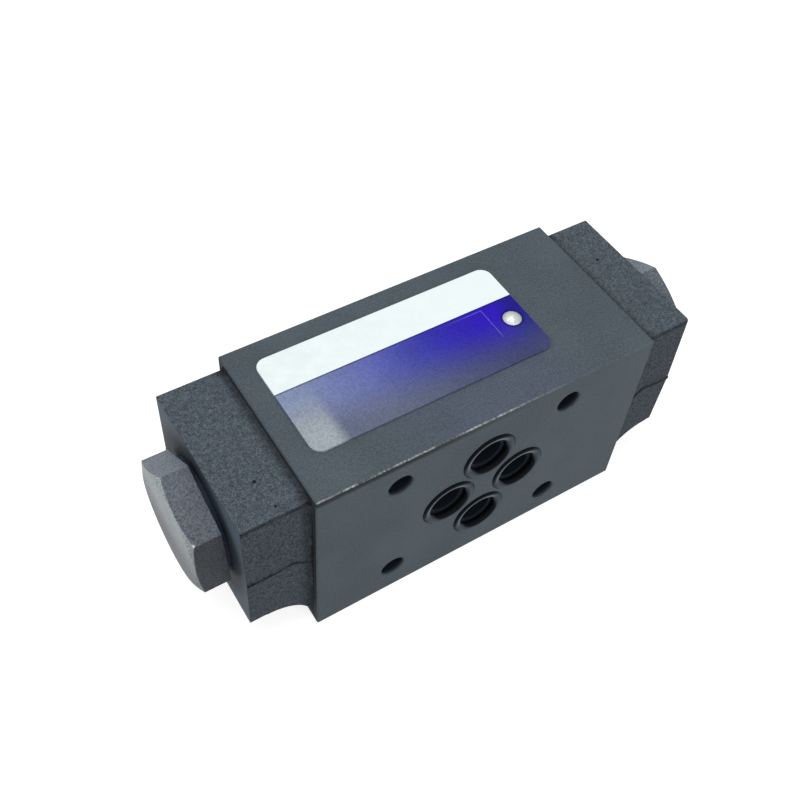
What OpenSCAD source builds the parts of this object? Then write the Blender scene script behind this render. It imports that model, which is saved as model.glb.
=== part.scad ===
// Sandwich valve for a size 6 hydraulic stack: a twin pilot-operated check valve.
// One cast block with machined faces carries a cross bore. In the bore sit a pilot spool, two
// seat bushes and two spring-loaded poppets, and a hex plug closes each end.
// X runs along the cross bore from its middle, which is also the middle of the bolt pattern.
// Side A lies at -X. The seal face looks to -Y, the valve face to +Y. Z is up, the marked face is
// on top, and the block rests on Z = 0. Sizes are in millimetres.

/* [Block] */
// Length of the machined block along the cross bore
block_len = 80; // [76:1:96]
// Depth of the block between its two port faces
block_depth = 40; // [38:1:50]
// Height of the block
block_height = 47; // [47:0.5:56]
// Broken edge all round the block
block_chamfer = 0.3; // [0.2:0.1:0.6]

/* [Port pattern] */
// Height of the port pattern's centre above the underside
pattern_height = 23.5; // [22:0.5:25]
// Distance between the bolt holes of side A and those of side B
bolt_span = 40.5; // [40:0.1:41]
// Spacing of the two bolt holes on side A
bolt_pitch_a = 31; // [30:0.1:32]
// Spacing of the two bolt holes on side B
bolt_pitch_b = 32.5; // [31:0.1:33.5]
// Diameter of the bolt holes
bolt_hole_d = 5.5; // [5.2:0.1:6]
// Distance of port A from the bolt holes of side A
port_a_run = 12.7; // [12.2:0.1:13.2]
// Distance of port B from the bolt holes of side A
port_b_run = 30.2; // [29.7:0.1:30.7]
// Distance of ports P and T from the bolt holes of side A
port_pt_run = 21.5; // [21:0.1:22]
// Distance of ports P and T below and above the pattern's centre
port_pt_z = 10.4; // [9.8:0.1:11]
// Diameter of the ports
port_d = 7.5; // [6.5:0.1:8]
// Depth of the straight mouth of port T
tank_mouth = 4; // [3:0.5:6]
// Depth of ports A and B from the valve face to the spool's chamber
port_depth = 15; // [14.6:0.1:16]
// Broken edge of the drilled holes
hole_chamfer = 0.3; // [0.1:0.1:0.5]

/* [Port seals] */
// Diameter of the seal seat round each port
seal_seat_d = 12.8; // [12.4:0.1:13.4]
// Depth of the seal seat
seal_seat_depth = 1.4; // [1.2:0.1:1.8]
// Section of the round seal ring, which stands proud of the seal face until the stack is bolted
seal_ring_d = 1.8; // [1.6:0.05:2]
// Clearance of the ring in its seat
seal_clear = 0.05; // [0.02:0.01:0.1]

/* [Cast ends] */
// Length of the casting between the machined faces that the plugs seat on
casting_len = 106; // [103:1:120]
// Width of the cast ends at the parting plane
end_width = 36.8; // [34:0.1:37]
// Step from the block's top face down to the cast ends
end_step = 1.4; // [1.1:0.1:3]
// Height of the cast ends
end_height = 34.4; // [31:0.2:34.6]
// Draft of the cast side walls, in degrees
end_draft = 1.5; // [0.5:0.25:3]
// Rounding of the cast ends' upper edges
end_edge_r = 0.6; // [0.5:0.1:3]
// Broken lower edge of the cast ends
end_lower_edge = 0.2; // [0.1:0.1:0.8]
// Fillet between a cast end and the block, on its top and sides
end_root_r = 0.8; // [0.4:0.1:0.8]
// Large fillet between the underside of a cast end and the block
end_foot_r = 10.5; // [3:0.5:10.5]
// Height of the mould's parting plane above the underside
parting_height = 27; // [23:0.5:32]
// Height of the flash along the parting plane
flash_height = 0.6; // [0.4:0.1:1.2]
// How far the flash stands proud
flash_proud = 0.25; // [0.1:0.05:0.5]
// Distance from the block at which the flash turns down
flash_bend = 4.2; // [3:0.1:5]
// Rise of the flash at that bend
flash_rise = 0.6; // [0.2:0.1:1]
// Drop of the flash where it reaches the block
flash_drop = 3; // [1:0.25:4]

/* [Cross bore] */
// Height of the cross bore above the underside
axis_height = 28.5; // [28:0.1:29]
// Bore of the pilot spool
spool_bore_d = 9; // [8:0.5:10]
// Length of the chamber at each port, along the bore
gallery_len = 6; // [5:0.5:7]
// Radial depth of that chamber round the spool bore
gallery_depth = 2.5; // [2:0.25:3]
// Distance of the seat shoulder from the middle of the bore
seat_shoulder = 25.5; // [25:0.5:27]
// Bore of the poppet chamber
chamber_d = 18; // [17:0.5:18.5]
// Diameter of the cored passages
passage_d = 6; // [5:0.5:6.5]
// Wall between a cored passage and the bore next to it
passage_wall = 2; // [1.5:0.25:3]
// Distance of that passage from the inner end of the poppet chamber
passage_land = 0.5; // [0.25:0.25:1]
// Wall between the tank passage and the spool bore below it
tank_wall = 4; // [3:0.25:4.5]

/* [Pilot spool] */
// Length of the spool's land
spool_len = 10; // [8:0.5:11]
// Diameter of the push rods
rod_d = 3.5; // [2.5:0.25:4]
// Free travel between a push rod and its closed poppet
rod_travel = 1.2; // [0.8:0.1:1.6]
// Depth of the balance grooves on the land
groove_depth = 0.4; // [0.2:0.1:0.6]
// Radial running clearance of spool and poppets
running_clear = 0.04; // [0.02:0.01:0.08]

/* [Seats and poppets] */
// Outside diameter of a seat bush
seat_d = 14; // [13:0.25:14.5]
// Length of a seat bush
seat_len = 6; // [5:0.5:7]
// Bore of a seat bush
seat_bore_d = 7; // [6:0.25:7.5]
// Width of the conical seat
seat_face = 0.8; // [0.5:0.1:1]
// Fitting gap between the seat bush and its bore
seat_clear = 0.02; // [0.01:0.01:0.04]
// Section of the seal ring on a seat bush
seat_ring_d = 1.6; // [1.4:0.1:1.8]
// Outside diameter of a poppet's skirt
poppet_d = 13.9; // [13:0.1:14.2]
// Wall of the poppet's skirt
poppet_wall = 1.3; // [1:0.1:1.6]
// Diameter of the flat tip of a poppet
poppet_tip_d = 4.4; // [4:0.1:5]
// Solid metal behind the poppet's cone
poppet_floor = 2.5; // [2:0.25:3.5]
// Stroke of a poppet
poppet_lift = 2.5; // [1.5:0.25:3]
// Gap that is left at either end of a stroke
stop_gap = 0.1; // [0.05:0.05:0.2]
// Diameter of the relief holes in the skirt
relief_d = 2; // [1.5:0.1:2.2]

/* [Springs] */
// Wire of the poppet springs
wire_d = 1; // [0.8:0.05:1.2]
// Clearance round the spring in its pockets
spring_clear = 0.4; // [0.2:0.05:0.6]
// Active turns of a spring
spring_turns = 7; // [5:1:8]
// Pitch of the closed turn at each end, in wire diameters
closed_pitch = 1.2; // [1.05:0.05:1.3]

/* [Plugs] */
// Width of the hex across its flats
hex_flats = 25; // [24:0.5:27]
// Height of the hex
hex_height = 6.4; // [5:0.1:9]
// Depth of the turned chamfer on the hex
hex_chamfer = 0.8; // [0.5:0.1:1.8]
// Turn of the hex on side A
hex_turn_a = 7; // [-30:1:30]
// Turn of the hex on side B
hex_turn_b = 2; // [-30:1:30]
// Height of the round collar under the hex
collar_height = 1; // [0.8:0.1:2.5]
// Diameter of that collar
collar_d = 24; // [23.4:0.1:24]
// Thread of the plug
thread_d = 20; // [19.5:0.5:20.5]
// Length of the threaded hole
thread_len = 12.5; // [11:0.5:14]
// Radial gap in the thread
thread_clear = 0.05; // [0.02:0.01:0.1]
// Relief at both ends of the thread
thread_relief = 1; // [0.5:0.25:1.5]
// Reach of the plug's guide sleeve from its collar
sleeve_len = 14; // [13:0.5:16]
// Radial gap between the guide sleeve and the poppet chamber
sleeve_clear = 0.4; // [0.3:0.1:0.6]
// Depth of the stop shoulder in the guide sleeve, from the collar
stop_depth = 5; // [3.5:0.5:6]
// Depth of the spring pocket in the head, from the collar
pocket_depth = 3; // [1:0.5:4]
// Section of the seal ring under the collar
plug_ring_d = 1.9; // [1.6:0.1:2.1]
// Clearance round a seal ring in its groove
ring_clear = 0.1; // [0.05:0.05:0.2]

/* [Marking plate] */
// Length of the plate
plate_len = 56; // [50:0.5:60]
// Width of the plate
plate_width = 25.5; // [20:0.5:28]
// Thickness of the plate
plate_thick = 0.5; // [0.4:0.1:1]
// Rounding of the plate's corners
plate_corner_r = 2.5; // [1:0.25:4]
// Place of the plate's centre along the block
plate_x = -5.8; // [-7:0.2:-3]
// Place of the plate's centre across the block
plate_y = 2; // [0:0.5:4]
// Place of the rivet across the block
rivet_y = -0.5; // [-2:0.5:4]
// Distance of the rivet from the plate's end on side B
rivet_edge = 3.6; // [2.6:0.1:5]
// Diameter of the rivet's head
rivet_head_d = 4; // [3.4:0.1:4.6]
// Height of the rivet's head
rivet_head_h = 0.9; // [0.6:0.1:1.2]
// Diameter of the rivet's shank
rivet_shank_d = 2; // [1.6:0.1:2.4]
// Depth of the rivet in the block
rivet_depth = 2; // [1.5:0.1:2.2]
// Fitting gap round the rivet's shank
rivet_clear = 0.03; // [0.02:0.01:0.1]

/* [Hidden] */
$fn = 64;

// Sides of the valve, as the sign of X
side_a = -1;
side_b = 1;
// Overlap of shapes that are joined or cut
cut = 1;
// How far a fillet strip sinks into the walls that it joins
sink = 0.3;

// Places of the ports, and the height of each port row
port_a_x = port_a_run - bolt_span / 2;
port_b_x = port_b_run - bolt_span / 2;
port_pt_x = port_pt_run - bolt_span / 2;
height_p = pattern_height - port_pt_z;
height_t = pattern_height + port_pt_z;

// The machined block is centred on ports P and T, so its end walls lie at different reaches
block_x = port_pt_x;
function block_end(side) = block_len / 2 + side * block_x;

// Section of the cast ends
end_top = block_height - end_step;
end_bottom = end_top - end_height;
end_top_half_w = end_width / 2 - (end_top - parting_height) * tan(end_draft);
end_bottom_half_w = end_width / 2 - (parting_height - end_bottom) * tan(end_draft);

// The foot fillet stays within the reach of its cast end and of the wall below it
function foot_r(side) = min(end_foot_r, casting_len / 2 - block_end(side), end_bottom - block_chamfer);

// Stations along the bore, measured outwards from its middle
mouth_u = casting_len / 2;
thread_u = mouth_u - thread_len;
sleeve_u = mouth_u - sleeve_len;
stop_u = mouth_u - stop_depth;
pocket_u = mouth_u + pocket_depth;
hex_u = mouth_u + collar_height;
head_u = hex_u + hex_height;
chamber_u = seat_shoulder + seat_len;

// Seal ring under the collar, and the groove that holds it
plug_ring_groove = plug_ring_d + 2 * ring_clear;
plug_neck_d = thread_d - plug_ring_d;
plug_recess_d = plug_neck_d + 2 * plug_ring_groove;

// Seal ring on the seat bush, and its groove
seat_ring_groove_d = seat_d - 2 * (seat_ring_d + ring_clear);
seat_ring_groove_w = seat_ring_d + 2 * ring_clear;

// A poppet closes with its cone on the conical seat, which both slope at 45 degrees
cone_shift = chamber_u - seat_bore_d / 2 - seat_face + stop_gap;
poppet_tip_u = poppet_tip_d / 2 + cone_shift;
poppet_cone_u = poppet_d / 2 + cone_shift;
poppet_floor_u = poppet_cone_u + poppet_floor;
poppet_end_u = stop_u - poppet_lift - stop_gap;
guide_bore_d = poppet_d + 2 * running_clear;
spring_pocket_d = poppet_d - 2 * poppet_wall;
spring_mean_d = spring_pocket_d - 2 * spring_clear - wire_d;

// Cored passages: the outer port's passage runs beside the seat, port T's arches over the bore
passage_y = -(seat_d / 2 + passage_wall + passage_d / 2);
feed_u = chamber_u + passage_land + passage_d / 2;
tank_crest = axis_height + spool_bore_d / 2 + tank_wall + passage_d / 2;

plate_top = block_height + plate_thick;
rivet_x = plate_x + plate_len / 2 - rivet_edge;

// Rectangle with broken corners
module chamfered_rect(size, c) {
    w = size.x / 2;
    h = size.y / 2;
    polygon([
        [w - c, -h],
        [w, c - h],
        [w, h - c],
        [w - c, h],
        [c - w, h],
        [-w, h - c],
        [-w, c - h],
        [c - w, -h],
    ]);
}

// Rectangle with round corners
module rounded_rect(size, r) {
    square([size.x - 2 * r, size.y], center = true);
    square([size.x, size.y - 2 * r], center = true);
    for (sx = [-1, 1], sy = [-1, 1]) {
        translate([sx * (size.x / 2 - r), sy * (size.y / 2 - r)])
            circle(r);
    }
}

// A section drawn in YZ and extruded along X, about the origin
module along_x(length) {
    rotate([90, 0, 90])
        linear_extrude(length, center = true)
            children();
}

// A section drawn in XZ and extruded along Y, about the origin
module along_y(length) {
    rotate([90, 0, 0])
        linear_extrude(length, center = true)
            children();
}

// Puts a turned piece, drawn along +Z, on the cross bore so that it points outwards on one side
module on_bore(side) {
    translate([0, 0, axis_height])
        rotate([0, side * 90, 0])
            children();
}

// Puts a piece drawn along +Z on the seal face, pointing out of it
module on_seal_face(x, z) {
    translate([x, -block_depth / 2, z])
        rotate([90, 0, 0])
            children();
}

// Straight drilling along Y between two depths
module drill_y(d, y0, y1) {
    translate([0, y1, 0])
        rotate([90, 0, 0])
            cylinder(d = d, h = y1 - y0);
}

// Cored passage of one diameter between two points
module passage(from, to, d) {
    run = to - from;
    length = norm(run);
    translate(from)
        rotate([0, acos(run.z / length), atan2(run.y, run.x)])
            cylinder(d = d, h = length);
}

// Ring of round section, centred on the origin
module round_ring(mean_d, section_d) {
    rotate_extrude()
        translate([mean_d / 2, 0])
            circle(d = section_d);
}

// Machined middle of the casting
module machined_block() {
    translate([block_x, 0, block_height / 2])
        intersection() {
            linear_extrude(block_height, center = true)
                chamfered_rect([block_len, block_depth], block_chamfer);
            along_x(block_len)
                chamfered_rect([block_depth, block_height], block_chamfer);
            along_y(block_depth)
                chamfered_rect([block_len, block_height], block_chamfer);
        }
}

// Section of a cast end: widest at the parting plane, drafted both ways, with round upper edges
module end_section() {
    top_flat = end_top_half_w - end_edge_r;
    for (turn = [0, 1]) {
        mirror([turn, 0]) {
            polygon([
                [0, end_bottom],
                [end_bottom_half_w - end_lower_edge, end_bottom],
                [end_bottom_half_w, end_bottom + end_lower_edge],
                [end_width / 2, parting_height],
                [end_top_half_w, end_top - end_edge_r],
                [top_flat, end_top - end_edge_r],
                [top_flat, end_top],
                [0, end_top],
            ]);
            translate([top_flat, end_top - end_edge_r])
                circle(end_edge_r);
        }
    }
}

// As-cast bar that stands out of the block at both ends, cut square by the plug faces
module cast_bar() {
    along_x(casting_len)
        end_section();
}

// Flash of one cast end, left along both its sides where the halves of the mould met, drawn for +X.
// It rises a little towards the block and turns down at it.
module parting_flash(side) {
    wall_x = block_end(side);
    line = [
        [mouth_u, 0],
        [wall_x + 2 * flash_bend, 0],
        [wall_x + flash_bend, flash_rise],
        [wall_x, -flash_drop],
        [wall_x - cut, -flash_drop],
    ];
    upper = [for (p = line) p + [0, flash_height / 2]];
    lower = [for (i = [len(line) - 1:-1:0]) line[i] - [0, flash_height / 2]];
    translate([0, 0, parting_height])
        along_y(end_width + 2 * flash_proud)
            polygon(concat(upper, lower));
}

// Section of a fillet in a square corner at the origin, sunk a little in both walls
module cove_section(r) {
    difference() {
        translate([-sink, -sink])
            square(r + sink);
        translate([r, r])
            circle(r);
    }
}

// Strip of root fillet along a drafted side wall, drawn for +X, +Y and upwards from the parting plane
module side_fillet(wall_x, length) {
    translate([wall_x, end_width / 2, parting_height])
        rotate([end_draft, 0, 0])
            linear_extrude(length)
                cove_section(end_root_r);
}

// Room below the parting plane in which a side fillet runs out together with the foot fillet
module foot_limit(wall_x, r) {
    side_height = parting_height - end_bottom;
    translate([wall_x, 0, end_bottom])
        mirror([0, 0, 1])
            along_y(block_depth) {
                cove_section(r);
                translate([-sink, -side_height])
                    square([r + sink, side_height]);
            }
}

// Fillets where the cast end of one side meets the end wall of the block, drawn for +X
module root_fillets(side) {
    wall_x = block_end(side);
    side_rise = end_top - end_edge_r - parting_height;
    side_drop = parting_height - end_bottom + foot_r(side);
    for (front = [0, 1]) {
        mirror([0, front, 0]) {
            side_fillet(wall_x, side_rise);
            intersection() {
                translate([0, 0, 2 * parting_height])
                    mirror([0, 0, 1])
                        side_fillet(wall_x, side_drop);
                foot_limit(wall_x, foot_r(side));
            }
            translate([wall_x, end_top_half_w - end_edge_r, end_top - end_edge_r])
                rotate([90, 0, 90])
                    rotate_extrude(angle = 90)
                        translate([end_edge_r, 0])
                            cove_section(end_root_r);
        }
    }
    translate([wall_x, 0, end_top])
        along_y(2 * (end_top_half_w - end_edge_r))
            cove_section(end_root_r);
    translate([wall_x, 0, end_bottom])
        mirror([0, 0, 1])
            along_y(2 * end_bottom_half_w)
                cove_section(foot_r(side));
}

// Turned hollow for one half of the cross bore, drawn along +Z from the middle
module bore_half(port_u) {
    gallery_u = port_u - gallery_len / 2;
    translate([0, 0, -cut])
        cylinder(d = spool_bore_d, h = seat_shoulder + 2 * cut);
    translate([0, 0, gallery_u])
        cylinder(d = spool_bore_d + 2 * gallery_depth, h = gallery_len);
    translate([0, 0, seat_shoulder])
        cylinder(d = seat_d + 2 * seat_clear, h = seat_len + cut);
    translate([0, 0, chamber_u])
        cylinder(d = chamber_d, h = thread_u - chamber_u + cut);
    translate([0, 0, thread_u])
        cylinder(d = thread_d, h = thread_len + cut);
    translate([0, 0, mouth_u - plug_ring_groove])
        cylinder(d = plug_recess_d, h = plug_ring_groove + cut);
}

// Passages that join one working port to the bore: the valve side opens at the spool, the seal
// side runs past the seat to the poppet chamber
module working_port(side, port_x) {
    translate([port_x, 0, pattern_height]) {
        drill_y(port_d, block_depth / 2 - port_depth, block_depth / 2 + cut);
        drill_y(port_d, -block_depth / 2 - cut, passage_y);
    }
    elbow = [port_x, passage_y, pattern_height];
    corner = [side * feed_u, passage_y, pattern_height];
    passage(elbow, corner, passage_d);
    passage(corner, [side * feed_u, 0, pattern_height], passage_d);
    translate(elbow)
        sphere(d = port_d);
    translate(corner)
        sphere(d = passage_d);
}

// Port T enters straight and arches over the spool bore
module tank_port() {
    for (face = [-1, 1]) {
        mouth = [port_pt_x, face * (block_depth / 2 - tank_mouth), height_t];
        passage([port_pt_x, face * (block_depth / 2 + cut), height_t], mouth, port_d);
        passage(mouth, [port_pt_x, 0, tank_crest], passage_d);
        translate(mouth)
            sphere(d = port_d);
    }
    translate([port_pt_x, 0, tank_crest])
        sphere(d = passage_d);
}

// Bolt hole through the block, with both mouths broken
module bolt_hole(x, z) {
    translate([x, 0, z]) {
        drill_y(bolt_hole_d, -block_depth / 2 - cut, block_depth / 2 + cut);
        for (turn = [90, -90]) {
            rotate([turn, 0, 0])
                translate([0, 0, block_depth / 2 - hole_chamfer])
                    cylinder(d1 = bolt_hole_d, d2 = bolt_hole_d + 4 * hole_chamfer, h = 2 * hole_chamfer);
        }
    }
}

// Seat of one port seal, sunk in the seal face
module seal_seat(x, z) {
    on_seal_face(x, z)
        translate([0, 0, -seal_seat_depth])
            cylinder(d = seal_seat_d, h = seal_seat_depth + cut);
}

module valve_body() {
    color("dimgray")
        difference() {
            union() {
                machined_block();
                cast_bar();
                root_fillets(side_b);
                parting_flash(side_b);
                mirror([1, 0, 0]) {
                    root_fillets(side_a);
                    parting_flash(side_a);
                }
            }
            on_bore(side_a)
                bore_half(side_a * port_a_x);
            on_bore(side_b)
                bore_half(side_b * port_b_x);
            working_port(side_a, port_a_x);
            working_port(side_b, port_b_x);
            translate([port_pt_x, 0, height_p])
                drill_y(port_d, -block_depth / 2 - cut, block_depth / 2 + cut);
            tank_port();
            seal_seat(port_pt_x, height_p);
            seal_seat(port_pt_x, height_t);
            seal_seat(port_a_x, pattern_height);
            seal_seat(port_b_x, pattern_height);
            for (row = [-1, 1]) {
                bolt_hole(side_a * bolt_span / 2, pattern_height + row * bolt_pitch_a / 2);
                bolt_hole(side_b * bolt_span / 2, pattern_height + row * bolt_pitch_b / 2);
            }
            translate([rivet_x, rivet_y, block_height - rivet_depth - rivet_clear])
                cylinder(d = rivet_shank_d + 2 * rivet_clear, h = rivet_depth + cut);
        }
}

// Hex of a plug, its outer corners turned off
module hex_head(turn) {
    hex_r = hex_flats / 2 / cos(30);
    face_r = (hex_flats - hex_chamfer) / 2;
    intersection() {
        translate([0, 0, hex_u])
            rotate(turn)
                cylinder(r = hex_r, h = hex_height, $fn = 6);
        rotate_extrude()
            polygon([
                [0, hex_u],
                [2 * hex_r - face_r, hex_u],
                [2 * hex_r - face_r, head_u - 2 * hex_chamfer],
                [face_r, head_u],
                [0, head_u],
            ]);
    }
}

// Turned part of a plug: sleeve, thread, neck for the seal ring and collar
module plug_shank() {
    neck_u = mouth_u - plug_ring_groove;
    rotate_extrude()
        polygon([
            [0, sleeve_u],
            [chamber_d / 2 - sleeve_clear, sleeve_u],
            [chamber_d / 2 - sleeve_clear, thread_u + thread_relief],
            [thread_d / 2 - thread_clear, thread_u + thread_relief],
            [thread_d / 2 - thread_clear, neck_u - thread_relief],
            [plug_neck_d / 2, neck_u],
            [plug_neck_d / 2, mouth_u],
            [collar_d / 2, mouth_u],
            [collar_d / 2, hex_u],
            [plug_neck_d / 2, hex_u],
            [plug_neck_d / 2, hex_u + cut],
            [0, hex_u + cut],
        ]);
}

// Hex plug with a guide bore for its poppet and a pocket for the spring
module plug(side, turn) {
    color("slategray")
        on_bore(side)
            difference() {
                union() {
                    plug_shank();
                    hex_head(turn);
                }
                translate([0, 0, sleeve_u - cut])
                    cylinder(d = guide_bore_d, h = stop_u - sleeve_u + cut);
                translate([0, 0, stop_u - cut])
                    cylinder(d = spring_pocket_d, h = pocket_u - stop_u + cut);
            }
}

module plug_a() {
    plug(side_a, hex_turn_a);
}

module plug_b() {
    plug(side_b, hex_turn_b);
}

// Seal ring in the recess under the plug's collar
module plug_seal(side) {
    color("black")
        on_bore(side)
            translate([0, 0, mouth_u - plug_ring_groove / 2])
                round_ring(plug_neck_d + plug_ring_groove, plug_ring_d);
}

module plug_seal_a() {
    plug_seal(side_a);
}

module plug_seal_b() {
    plug_seal(side_b);
}

// Hard seat bush with a ring groove on its outside and a conical seat on its outer end
module seat_bush(side) {
    groove_u = seat_shoulder + (seat_len - seat_ring_groove_w) / 2;
    color("silver")
        on_bore(side)
            rotate_extrude()
                polygon([
                    [seat_bore_d / 2, seat_shoulder],
                    [seat_d / 2, seat_shoulder],
                    [seat_d / 2, groove_u],
                    [seat_ring_groove_d / 2, groove_u],
                    [seat_ring_groove_d / 2, groove_u + seat_ring_groove_w],
                    [seat_d / 2, groove_u + seat_ring_groove_w],
                    [seat_d / 2, chamber_u],
                    [seat_bore_d / 2 + seat_face, chamber_u],
                    [seat_bore_d / 2, chamber_u - seat_face],
                ]);
}

module seat_bush_a() {
    seat_bush(side_a);
}

module seat_bush_b() {
    seat_bush(side_b);
}

// Seal ring in the groove of a seat bush
module seat_seal(side) {
    color("black")
        on_bore(side)
            translate([0, 0, seat_shoulder + seat_len / 2])
                round_ring(seat_ring_groove_d + seat_ring_d + ring_clear, seat_ring_d);
}

module seat_seal_a() {
    seat_seal(side_a);
}

module seat_seal_b() {
    seat_seal(side_b);
}

// Hollow check poppet: a cone that closes the seat and a skirt that slides in the plug's sleeve
module poppet(side) {
    relief_u = poppet_floor_u + relief_d;
    color("lightsteelblue")
        on_bore(side)
            difference() {
                rotate_extrude()
                    polygon([
                        [0, poppet_tip_u],
                        [poppet_tip_d / 2, poppet_tip_u],
                        [poppet_d / 2, poppet_cone_u],
                        [poppet_d / 2, poppet_end_u],
                        [spring_pocket_d / 2, poppet_end_u],
                        [spring_pocket_d / 2, poppet_floor_u],
                        [0, poppet_floor_u],
                    ]);
                for (turn = [0, 90]) {
                    rotate(turn)
                        translate([0, 0, relief_u])
                            rotate([90, 0, 0])
                                cylinder(d = relief_d, h = poppet_d + cut, center = true);
                }
            }
}

module poppet_a() {
    poppet(side_a);
}

module poppet_b() {
    poppet(side_b);
}

// Rise of the wire along a spring after a number of turns, with one closed turn at each end
function spring_rise(turn, turns, dead, active) =
    turn < 1 ? turn * dead
    : turn < turns - 1 ? dead + (turn - 1) * active
    : dead + (turns - 2) * active + (turn - turns + 1) * dead;

// Coil spring of round wire from z = 0 to z = length
module coil_spring(length) {
    sides = 8;
    steps = 16;
    turns = spring_turns + 2;
    rings = turns * steps;
    dead = closed_pitch * wire_d;
    active = (length - wire_d - 2 * dead) / spring_turns;
    points = [
        for (i = [0:rings], s = [0:sides - 1])
            let (
                a = 360 * i / steps,
                b = 360 * s / sides,
                r = (spring_mean_d + wire_d * cos(b)) / 2,
                rise = spring_rise(i / steps, turns, dead, active)
            )
            [r * cos(a), r * sin(a), rise + wire_d * (1 + sin(b)) / 2]
    ];
    skin = [
        for (i = [0:rings - 1], s = [0:sides - 1])
            let (n = (s + 1) % sides)
            [i * sides + s, i * sides + n, (i + 1) * sides + n, (i + 1) * sides + s]
    ];
    caps = [[for (s = [0:sides - 1]) sides - 1 - s], [for (s = [0:sides - 1]) rings * sides + s]];
    polyhedron(points, concat(skin, caps));
}

// Poppet spring between the poppet's floor and the plug's pocket
module poppet_spring(side) {
    color("gainsboro")
        on_bore(side)
            translate([0, 0, poppet_floor_u + stop_gap])
                coil_spring(pocket_u - poppet_floor_u - 2 * stop_gap);
}

module poppet_spring_a() {
    poppet_spring(side_a);
}

module poppet_spring_b() {
    poppet_spring(side_b);
}

// Half of the pilot spool, drawn along +Z: a land with a balance groove, and a push rod
module spool_half() {
    land_r = spool_bore_d / 2 - running_clear;
    tip_u = poppet_tip_u - rod_travel;
    rotate_extrude()
        polygon([
            [0, 0],
            [land_r, 0],
            [land_r, spool_len / 4 - groove_depth],
            [land_r - groove_depth, spool_len / 4],
            [land_r, spool_len / 4 + groove_depth],
            [land_r, spool_len / 2 - groove_depth],
            [land_r - groove_depth, spool_len / 2],
            [rod_d / 2, spool_len / 2],
            [rod_d / 2, tip_u - groove_depth],
            [rod_d / 2 - groove_depth, tip_u],
            [0, tip_u],
        ]);
}

module pilot_spool() {
    color("lightgray") {
        on_bore(side_a)
            spool_half();
        on_bore(side_b)
            spool_half();
    }
}

// Free seal ring in its seat, its outside against the wall of the seat
module port_seal(x, z) {
    color("black")
        on_seal_face(x, z)
            translate([0, 0, seal_ring_d / 2 + seal_clear - seal_seat_depth])
                round_ring(seal_seat_d - 2 * seal_clear - seal_ring_d, seal_ring_d);
}

module port_seal_p() {
    port_seal(port_pt_x, height_p);
}

module port_seal_t() {
    port_seal(port_pt_x, height_t);
}

module port_seal_a() {
    port_seal(port_a_x, pattern_height);
}

module port_seal_b() {
    port_seal(port_b_x, pattern_height);
}

module nameplate() {
    color("mediumblue")
        difference() {
            translate([plate_x, plate_y, block_height])
                linear_extrude(plate_thick)
                    rounded_rect([plate_len, plate_width], plate_corner_r);
            translate([rivet_x, rivet_y, block_height - cut])
                cylinder(d = rivet_shank_d + 2 * rivet_clear, h = plate_thick + 2 * cut);
        }
}

// Drive rivet with a domed head on the plate and a shank in the block
module rivet_b() {
    dome_r = (pow(rivet_head_d / 2, 2) + pow(rivet_head_h, 2)) / (2 * rivet_head_h);
    color("silver")
        translate([rivet_x, rivet_y, plate_top]) {
            intersection() {
                translate([0, 0, rivet_head_h - dome_r])
                    sphere(dome_r);
                cylinder(d = rivet_head_d + cut, h = rivet_head_h + cut);
            }
            translate([0, 0, -plate_thick - rivet_depth])
                cylinder(d = rivet_shank_d, h = plate_thick + rivet_depth + rivet_head_h / 2);
        }
}

valve_body();
plug_a();
plug_b();
plug_seal_a();
plug_seal_b();
seat_bush_a();
seat_bush_b();
seat_seal_a();
seat_seal_b();
poppet_a();
poppet_b();
poppet_spring_a();
poppet_spring_b();
pilot_spool();
port_seal_p();
port_seal_t();
port_seal_a();
port_seal_b();
nameplate();
rivet_b();
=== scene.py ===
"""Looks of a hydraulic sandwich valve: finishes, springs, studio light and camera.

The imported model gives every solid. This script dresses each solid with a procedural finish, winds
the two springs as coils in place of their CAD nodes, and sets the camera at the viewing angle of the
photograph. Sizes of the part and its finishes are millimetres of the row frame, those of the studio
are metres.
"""

import logging
import math
from dataclasses import dataclass, field
from enum import Enum
from typing import Any, Optional, Union

import bmesh
import bpy
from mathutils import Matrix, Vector


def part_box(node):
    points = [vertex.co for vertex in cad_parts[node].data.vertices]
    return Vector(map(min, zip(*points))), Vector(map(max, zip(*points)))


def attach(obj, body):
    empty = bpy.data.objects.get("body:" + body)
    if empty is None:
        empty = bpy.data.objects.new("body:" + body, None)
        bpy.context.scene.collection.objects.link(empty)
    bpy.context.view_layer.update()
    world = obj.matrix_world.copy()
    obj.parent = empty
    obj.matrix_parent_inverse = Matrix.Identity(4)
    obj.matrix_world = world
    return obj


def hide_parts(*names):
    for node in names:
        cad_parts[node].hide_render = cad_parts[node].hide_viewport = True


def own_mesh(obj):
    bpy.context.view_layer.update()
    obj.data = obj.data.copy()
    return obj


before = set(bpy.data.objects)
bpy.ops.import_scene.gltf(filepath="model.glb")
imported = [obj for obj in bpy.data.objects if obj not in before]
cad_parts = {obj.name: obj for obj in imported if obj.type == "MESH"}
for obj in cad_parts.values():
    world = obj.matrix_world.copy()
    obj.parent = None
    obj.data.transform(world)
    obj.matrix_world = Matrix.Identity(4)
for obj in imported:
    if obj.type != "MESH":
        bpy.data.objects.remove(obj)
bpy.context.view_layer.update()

LOG = logging.getLogger("sandwich_valve")
MM = 0.001
WHITE = (1.0, 1.0, 1.0)
FLOAT = "NodeSocketFloat"
VECTOR = "NodeSocketVector"

# Colour sockets of a Mix node
MIX_LOW, MIX_HIGH, MIX_RESULT = 6, 7, 2

Colour = tuple[float, float, float]
Point = tuple[float, float, float]
Socket = bpy.types.NodeSocket
Feed = Union[float, Colour, Socket]


def top_corner(node: str) -> Vector:
    """Corner of a node's box with the largest X, Y and Z, in millimetres."""
    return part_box(node)[1] / MM


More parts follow.
